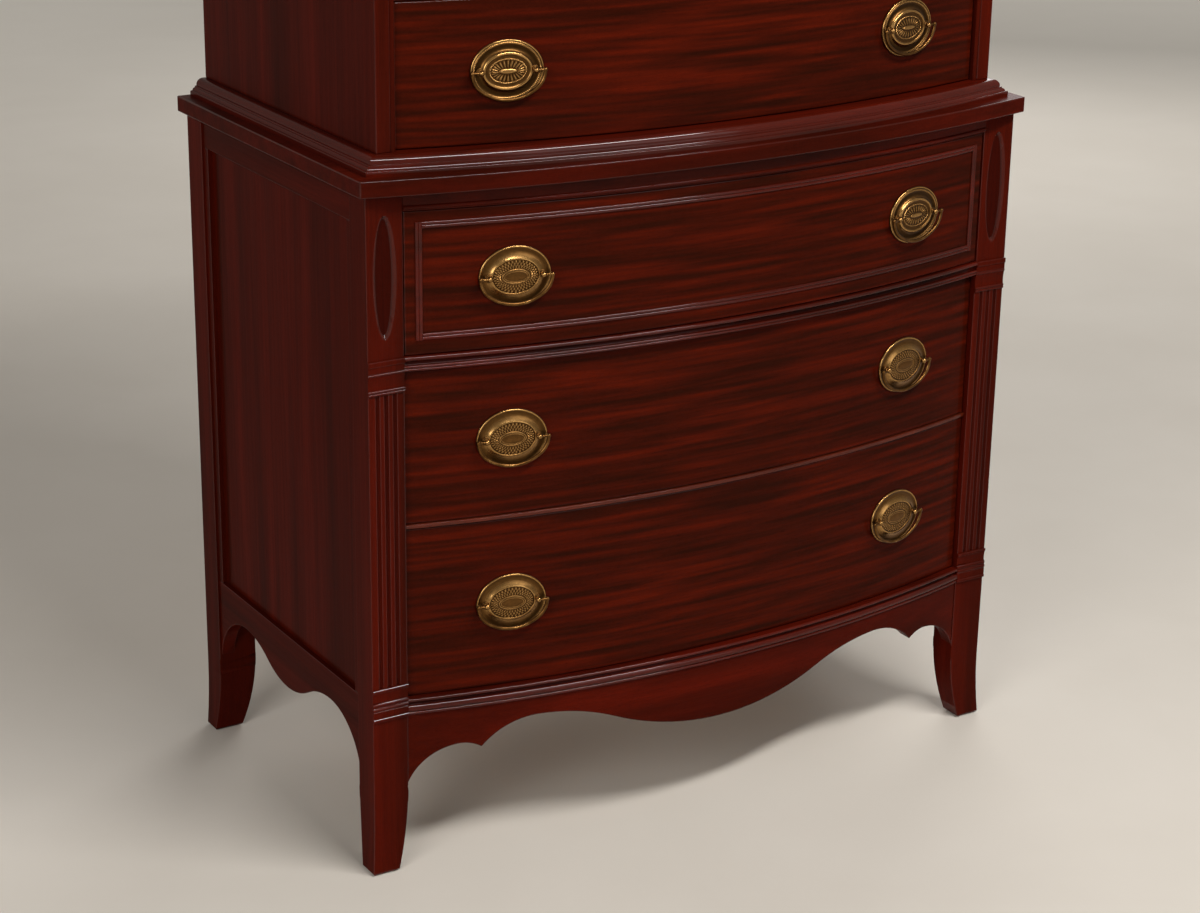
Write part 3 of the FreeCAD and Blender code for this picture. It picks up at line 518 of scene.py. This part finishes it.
# Outline of the moulding, in millimetres: distance from the upper case's face, and height
waist_outline = (
    (0, 0), (20.5, 0), (20.5, 4.6), (20.3, 5.3), (19.8, 5.8), (19.0, 6.0), (17.8, 6.0), (17.6, 6.5),
    (17.2, 7.5), (16.3, 8.6), (15.0, 9.3), (14.3, 9.5), (14.3, 10.6), (14.0, 11.1), (13.4, 11.3),
    (12.3, 11.3), (12.2, 11.9), (12.2, 13.2), (11.7, 15.0), (10.7, 16.7), (9.2, 18.2), (7.4, 19.3),
    (5.4, 19.9), (3.4, 20.0), (0, 20.0),
)
moulding_steps = 72
mm = 0.001
waist_wood = mahogany("mahogany_waist", 0, level_figure, case_tones, moulded_gloss, coat=0.55)
return_wood = mahogany(
    "mahogany_moulded_depthwise", 1, depthwise_figure, case_tones, moulded_gloss, coat=0.3
)
low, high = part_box("waist_moulding")
reach = max(out for out, rise in waist_outline) * mm
half = high.x - reach
face_y = low.y + reach
bow_r = axis_y - face_y
inner_y = axis_y - bow_r * (1 - (half / bow_r) ** 2) ** 0.5
outer_r = bow_r + reach
outer_y = axis_y - outer_r * (1 - (high.x / outer_r) ** 2) ** 0.5
mitre = atan2(reach, inner_y - outer_y)
section = [(face_y - out * mm, low.z + rise * mm) for out, rise in waist_outline]
shape = spun_bar(section, half, moulding_steps, end_y=inner_y, mitre=mitre)
moulding = finished("waist_moulding_front", shape, waist_wood, "case", "waist_moulding")
for side, sign in (("left", -1), ("right", 1)):
    shape = bmesh.new()
    spots = [
        shape.verts.new((sign * (half + out * mm), high.y, low.z + rise * mm))
        for out, rise in waist_outline
    ]
    end = bmesh.ops.extrude_face_region(shape, geom=[shape.faces.new(spots)])["geom"]
    end = [part for part in end if isinstance(part, bmesh.types.BMVert)]
    bmesh.ops.translate(shape, vec=(0, low.y - high.y, 0), verts=end)
    saw_off(shape, (sign * half, inner_y, 0), (-sign * cos(mitre), -sin(mitre), 0))
    moulding = finished("waist_moulding_" + side, shape, return_wood, "case", "waist_moulding")


# Upper case: two upright sides with a slim rounded strip inside each front edge, thin dividers,
# a top rail, and a cornice under the top board. All of it is mahogany, glued up and lacquered
# like the lower case.
for node, finish, radius in (
    ("upper_side_left", upright_wood, 0.0012),
    ("upper_side_right", upright_wood, 0.0012),
    ("upper_edge_beads", upright_wood, 0.0003),
    ("upper_dividers", level_wood, 0.0007),
    ("upper_top_rail", level_wood, 0.0008),
    ("top_board", level_wood, 0.0018),
):
    shape = whole_faces(node)
    rub_down(shape, radius)
    piece = finished(node + "_lacquered", shape, finish, "case", node)
for node in ("upper_bottom", "upper_sub_top", "cornice"):
    frame["nodes"][node].data.materials[0] = level_wood


# Drawer fronts: thick bowed fronts faced with ribbon-striped mahogany laid level, with eased
# edges. The boxes behind them are of the lining wood, with grooved sides for the bottom.
drawer_tones = ((0.026, 0.0040, 0.0014), (0.047, 0.0048, 0.0015), (0.088, 0.0068, 0.0017))
stripes = ((6, 6, 130), 1.5, 0.05)
striped_wood = mahogany("striped_mahogany_level", 0, stripes, drawer_tones, 0.28, streak=0.86)
front_t = 0.022
front_radius = 0.0012
front_steps = 48
drawers = [
    case + "_drawer_" + place
    for case in ("lower", "upper")
    for place in ("bottom", "middle", "top")
]
for drawer in drawers:
    low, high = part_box(drawer + "_front")
    section = [
        (low.y, low.z),
        (low.y, high.z),
        (low.y + front_t, high.z),
        (low.y + front_t, low.z),
    ]
    shape = spun_bar(section, high.x, front_steps)
    rub_down(shape, front_radius)
    front = finished(drawer + "_front_lacquered", shape, striped_wood, drawer, drawer + "_front")
    frame["nodes"][drawer + "_box"].data.materials[0] = lining_depthwise


# Bead frame: strips of two reeds glued round the face of the lower top drawer. They are of plain
# mahogany, and the level ones stand between the uprights.
bead_wood = mahogany("mahogany_moulded", 0, level_figure, case_tones, moulded_gloss, coat=moulded_coat)
frame["nodes"]["lower_drawer_top_bead"].data.materials[0] = bead_wood


# Pulls: cast brass plates in two patterns, dished or ringed, drawn out into ovals. Two posts with
# ball heads pass through each plate to nuts inside the drawer and carry the bail on its pins.
hollow_brass = (0.034, 0.015, 0.004)
brown_brass = (0.16, 0.074, 0.021)
bright_brass = (0.45, 0.25, 0.085)


def brass(name, rubbed):
    """Old brass, brown in its hollows and bright where hands rub it. The rubbed share comes from
    the piece's own attribute, or from a slow noise where it has none."""
    metal, tree, shader = new_finish(name)
    worn = noted(tree, rubbed) if rubbed else fibres(tree, (90, 90, 90), 2, 0)
    mottle = fibres(tree, (260, 260, 260), 4, 0.4)
    colour = ramp(tree, worn, (0.1, hollow_brass), (0.55, brown_brass), (0.95, bright_brass))
    colour = stained(tree, colour, ramp(tree, mottle, (0.3, grey(0.76)), (0.62, grey(1))))
    tree.links.new(colour, shader.inputs["Base Color"])
    dullness = ramp(tree, worn, (0.1, grey(0.42)), (0.9, grey(0.2)))
    tree.links.new(dullness, shader.inputs["Roughness"])
    shader.inputs["Metallic"].default_value = 1
    return metal


plate_brass = brass("brass_plate", "rubbed")
bail_brass = brass("brass_bail", None)
plate_half_w = 0.0425
plate_half_h = 0.0345
stretch = plate_half_w - plate_half_h
post_spread = 0.063
post_reach = 0.0075

# Sections of the two plates from the back of the rim to the middle, in millimetres:
# distance from the middle, height over the drawer's face, and how far the spot is rubbed bright
dished_section = (
    (34.5, -0.6, 0.2), (34.5, 0.7, 0.5), (34.3, 1.4, 0.8), (33.9, 1.9, 0.95), (33.3, 2.1, 1.0),
    (32.7, 1.9, 0.8), (32.1, 1.45, 0.4), (31.0, 1.1, 0.3), (29.5, 0.95, 0.35), (28.0, 1.05, 0.45),
    (26.0, 1.5, 0.6), (24.0, 2.3, 0.7), (22.2, 3.3, 0.8), (21.0, 4.1, 0.9), (20.3, 4.5, 0.95),
    (19.7, 4.6, 0.9), (19.2, 4.4, 0.6), (18.9, 3.9, 0.15), (18.5, 3.85, 0.1), (18.2, 4.0, 0.3),
    (17.6, 4.15, 0.5), (17.0, 4.3, 0.5), (16.4, 4.4, 0.5), (15.8, 4.5, 0.5), (15.2, 4.6, 0.5),
    (14.6, 4.67, 0.5), (14.0, 4.75, 0.5), (13.4, 4.81, 0.5), (12.8, 4.87, 0.5), (12.2, 4.92, 0.5),
    (11.6, 4.96, 0.5), (11.0, 5.0, 0.5), (10.4, 5.03, 0.5), (9.8, 5.05, 0.45), (9.1, 4.9, 0.3),
    (8.8, 4.7, 0.15), (8.5, 4.9, 0.4), (8.1, 5.25, 0.85), (7.6, 5.3, 0.9), (7.1, 5.05, 0.5),
    (6.8, 4.8, 0.2), (6.3, 4.95, 0.5), (5.8, 5.2, 0.8), (5.2, 5.15, 0.6), (4.8, 5.0, 0.35),
    (4.0, 5.1, 0.45), (2.5, 5.3, 0.5), (1.0, 5.4, 0.5),
)
ringed_section = (
    (34.5, -0.6, 0.2), (34.5, 0.8, 0.5), (34.2, 1.7, 0.85), (33.6, 2.2, 1.0), (32.9, 2.2, 0.9),
    (32.4, 1.8, 0.4), (32.1, 1.5, 0.15), (31.8, 1.8, 0.4), (31.2, 2.3, 0.8), (30.4, 2.5, 0.95),
    (29.6, 2.2, 0.7), (29.1, 1.7, 0.3), (28.6, 1.35, 0.2), (27.5, 1.15, 0.15), (26.0, 1.05, 0.15),
    (24.5, 1.15, 0.2), (23.2, 1.6, 0.35), (22.2, 2.4, 0.5), (21.4, 3.4, 0.7), (20.8, 4.3, 0.9),
    (20.1, 4.9, 1.0), (19.2, 5.1, 1.0), (18.4, 4.9, 0.8), (17.8, 4.4, 0.5), (17.4, 4.0, 0.3),
    (16.6, 3.85, 0.35), (15.4, 3.8, 0.35), (14.4, 3.8, 0.3), (13.9, 4.0, 0.5), (13.5, 4.5, 0.85),
    (13.0, 4.6, 0.9), (12.5, 4.3, 0.5), (12.2, 4.0, 0.2), (11.2, 4.15, 0.35), (9.5, 4.4, 0.45),
    (7.5, 4.6, 0.45), (5.5, 4.75, 0.4), (3.8, 4.8, 0.25), (2.8, 4.8, 0.2), (2.2, 5.3, 0.7),
    (1.5, 5.7, 0.95), (0.8, 5.8, 1.0),
)
# Bands of ribs, beads or scales on each plate: inner and outer edge, height in millimetres, count,
# and the share of a step by which the band is turned against the others
dished_bands = ((15.4, 18.3, 0.34, 36, 0), (12.5, 15.4, 0.34, 36, 0.5), (9.6, 12.5, 0.34, 36, 0))
ringed_bands = ((29.2, 31.7, 0.3, 96, 0), (12.4, 14.0, 0.25, 72, 0), (3.4, 12.0, 0.38, 24, 0))
plate_steps = 288
rib_rub = 0.45


def lathe(section, steps):
    """Turn a section, of spots that start with their radius and height, round the upright axis.
    Each corner can note how far it is rubbed bright."""
    shape = bmesh.new()
    rubbed = shape.verts.layers.float.new("rubbed")
    spots = [shape.verts.new((spot[0], 0, spot[1])) for spot in section]
    line = [shape.edges.new(pair) for pair in zip(spots, spots[1:])]
    bmesh.ops.spin(
        shape,
        geom=spots + line,
        cent=(0, 0, 0),
        axis=(0, 0, 1),
        angle=2 * pi,
        steps=steps,
        use_merge=True,
    )
    return shape, rubbed


def close_and_shrink(shape):
    """Close the open ends of a turned shape, and bring it from millimetres to metres."""
    bmesh.ops.holes_fill(shape, edges=[edge for edge in shape.edges if edge.is_boundary], sides=0)
    bmesh.ops.scale(shape, vec=(mm, mm, mm), verts=shape.verts)


def oval_plate(section, bands):
    """Turn a plate's section, raise its ribs, beads or scales, and draw it out into an oval."""
    shape, rubbed = lathe(section, plate_steps)
    for vertex in shape.verts:
        radius = hypot(vertex.co.x, vertex.co.y)
        angle = atan2(vertex.co.y, vertex.co.x)
        nearest = min(section, key=lambda spot: abs(spot[0] - radius) + abs(spot[1] - vertex.co.z))
        share = nearest[2]
        for inner, outer, height, count, turn in bands:
            if inner < radius < outer:
                middle = (inner + outer) / 2
                fade = 1 - ((radius - middle) / (outer - middle)) ** 4
                wave = fade * cos(count * angle + 2 * pi * turn)
                vertex.co.z += height * wave
                share += rib_rub * wave
        vertex[rubbed] = min(max(share, 0), 1)
        vertex.co.x += stretch / mm * cos(angle)
    close_and_shrink(shape)
    return shape


# Section of a post, from its end inside the drawer to the top of its ball, in millimetres
post_section = (
    (2.5, -25.0), (2.5, 0.6), (4.6, 0.6), (4.9, 1.1), (4.9, 2.9), (4.5, 3.4), (3.3, 3.7), (2.4, 4.1),
    (2.2, 4.5), (2.6, 5.3), (3.1, 6.1), (3.36, 6.9), (3.4, 7.5), (3.3, 8.3), (2.9, 9.2),
    (2.2, 10.05), (1.2, 10.65), (0.4, 10.9),
)
post_steps = 28
nut_radius = 0.0058
nut_t = 0.003
nut_depth = -0.0242
ball_foot = 0.0045
ball_rub = 0.75
stem_rub = 0.35


def post_and_nut(x):
    """A turned post with its ball head, and the nut that draws it tight inside the drawer."""
    shape, rubbed = lathe(post_section, post_steps)
    close_and_shrink(shape)
    bmesh.ops.create_cone(
        shape,
        cap_ends=True,
        segments=6,
        radius1=nut_radius,
        radius2=nut_radius,
        depth=nut_t,
        matrix=Matrix.Translation((0, 0, nut_depth)),
    )
    for vertex in shape.verts:
        vertex[rubbed] = ball_rub if vertex.co.z > ball_foot else stem_rub
    bmesh.ops.translate(shape, vec=(x, 0, 0), verts=shape.verts)
    return shape


def joined(shapes):
    """Gather several shapes into one."""
    whole = bmesh.new()
    whole.verts.layers.float.new("rubbed")
    for shape in shapes:
        part = bpy.data.meshes.new("part")
        shape.to_mesh(part)
        shape.free()
        whole.from_mesh(part)
        bpy.data.meshes.remove(part)
    return whole


dished_plate = oval_plate(dished_section, dished_bands)
ringed_plate = oval_plate(ringed_section, ringed_bands)
hinges = {joint["child"]: joint for joint in frame["joints"] if "pos_m" in joint}
for drawer in drawers:
    for side in ("left", "right"):
        bail = drawer + "_bail_" + side
        pin = Vector(hinges[bail]["pos_m"])
        across = Vector(hinges[bail]["axis"])
        across = across if across.x > 0 else -across
        outward = across.cross(Vector((0, 0, 1)))
        seat = pin - post_reach * outward
        place = Matrix((across, (0, 0, 1), outward)).transposed().to_4x4()
        place.translation = seat
        ringed = drawer.startswith("upper") or (drawer == "lower_drawer_top" and side == "right")
        plate = ringed_plate if ringed else dished_plate
        posts = [post_and_nut(x) for x in (-post_spread / 2, post_spread / 2)]
        shape = joined([plate.copy()] + posts)
        bmesh.ops.transform(shape, matrix=place, verts=shape.verts)
        bmesh.ops.recalc_face_normals(shape, faces=shape.faces)
        pull = finished(drawer + "_pull_" + side, shape, plate_brass, drawer, drawer + "_pulls")
        frame["nodes"][bail].data.materials[0] = bail_brass


# Studio: a pale floor, a long soft key over the front, a soft fill for the left side, and weak
# lights in front and behind. The camera stands where the picture was taken from.
backdrop_tone = (0.33, 0.31, 0.275)
backdrop_strength = 1.2
room_strength = 0.09
lit_radius = 1.4
far_radius = 7.0
floor_half = 16


def seen(tree):
    """One for rays that show the background to the camera, also by a mirror or through glass."""
    path = tree.nodes.new("ShaderNodeLightPath")
    total = path.outputs["Is Camera Ray"]
    for kind in ("Is Glossy Ray", "Is Transmission Ray"):
        either = tree.nodes.new("ShaderNodeMath")
        either.operation = "MAXIMUM"
        tree.links.new(total, either.inputs[0])
        tree.links.new(path.outputs[kind], either.inputs[1])
        total = either.outputs["Value"]
    return total


def pale_floor():
    """Pale stone that stays pale to the eye beyond the reach of the lamps."""
    stone, tree, shader = new_finish("pale_floor")
    cloud = fibres(tree, (2.5, 2.5, 2.5), 4, 0.2)
    colour = ramp(tree, cloud, (0.3, (0.68, 0.62, 0.54)), (0.7, (0.72, 0.66, 0.58)))
    tree.links.new(colour, shader.inputs["Base Color"])
    length = tree.nodes.new("ShaderNodeVectorMath")
    length.operation = "LENGTH"
    tree.links.new(spot_on_piece(tree), length.inputs[0])
    away = share_between(tree, length.outputs["Value"], lit_radius, far_radius)
    away.interpolation_type = "SMOOTHSTEP"
    glow = ramp(tree, away.outputs["Result"], (0, grey(0)), (1, backdrop_tone))
    tree.links.new(glow, shader.inputs["Emission Color"])
    tree.links.new(seen(tree), shader.inputs["Emission Strength"])
    shader.inputs["Roughness"].default_value = 0.75
    shader.inputs["Specular IOR Level"].default_value = 0.2
    return stone


ground = bmesh.new()
bmesh.ops.create_grid(ground, x_segments=24, y_segments=24, size=floor_half)
mesh = bpy.data.meshes.new("floor")
ground.to_mesh(mesh)
ground.free()
mesh.materials.append(pale_floor())
floor = bpy.data.objects.new("floor", mesh)
bpy.context.scene.collection.objects.link(floor)


def soft_box(name, place, aim, size, watts):
    """A broad lamp of this width and height, turned to what it aims at."""
    lamp = bpy.data.lights.new(name, "AREA")
    lamp.shape = "RECTANGLE"
    lamp.size, lamp.size_y = size
    lamp.energy = watts
    light = bpy.data.objects.new(name, lamp)
    light.location = place
    light.rotation_euler = (Vector(aim) - Vector(place)).to_track_quat("-Z", "Y").to_euler()
    light.visible_camera = False
    bpy.context.scene.collection.objects.link(light)


soft_box("key", (0.5, -1.9, 3.0), (0, -0.1, 0.6), (2.0, 0.3), 78)
soft_box("fill", (-3.4, -2.2, 2.2), (0, 0, 0.6), (2.0, 2.0), 74)
soft_box("front", (1.6, -4.6, 2.0), (0, 0, 0.6), (2.4, 2.4), 25)
soft_box("back", (2.6, 2.8, 2.4), (0, 0, 0.7), (2.4, 2.4), 60)

world = bpy.data.worlds.new("studio")
world.use_nodes = True
tree = world.node_tree
soft_light = tree.nodes["Background"]
soft_light.inputs["Color"].default_value = (1.0, 0.97, 0.93, 1)
soft_light.inputs["Strength"].default_value = room_strength
backdrop = tree.nodes.new("ShaderNodeBackground")
backdrop.inputs["Color"].default_value = (*backdrop_tone, 1)
backdrop.inputs["Strength"].default_value = backdrop_strength
choice = tree.nodes.new("ShaderNodeMixShader")
tree.links.new(seen(tree), choice.inputs["Fac"])
tree.links.new(soft_light.outputs["Background"], choice.inputs[1])
tree.links.new(backdrop.outputs["Background"], choice.inputs[2])
tree.links.new(choice.outputs["Shader"], tree.nodes["World Output"].inputs["Surface"])
bpy.context.scene.world = world
bpy.context.scene.view_settings.view_transform = "Standard"

camera = bpy.data.cameras.new("camera")
camera.sensor_width = 36
camera.lens = 79.9
eye = bpy.data.objects.new("camera", camera)
eye_place = (-1.6925, -2.6898, 1.5261)
yaw, pitch, roll = 0.5571, 0.3471, 0.0156
aimed = Matrix.Rotation(-yaw, 4, "Z") @ Matrix.Rotation(pi / 2 - pitch, 4, "X")
eye.matrix_world = Matrix.Translation(eye_place) @ aimed @ Matrix.Rotation(roll, 4, "Z")
bpy.context.scene.collection.objects.link(eye)
bpy.context.scene.camera = eye
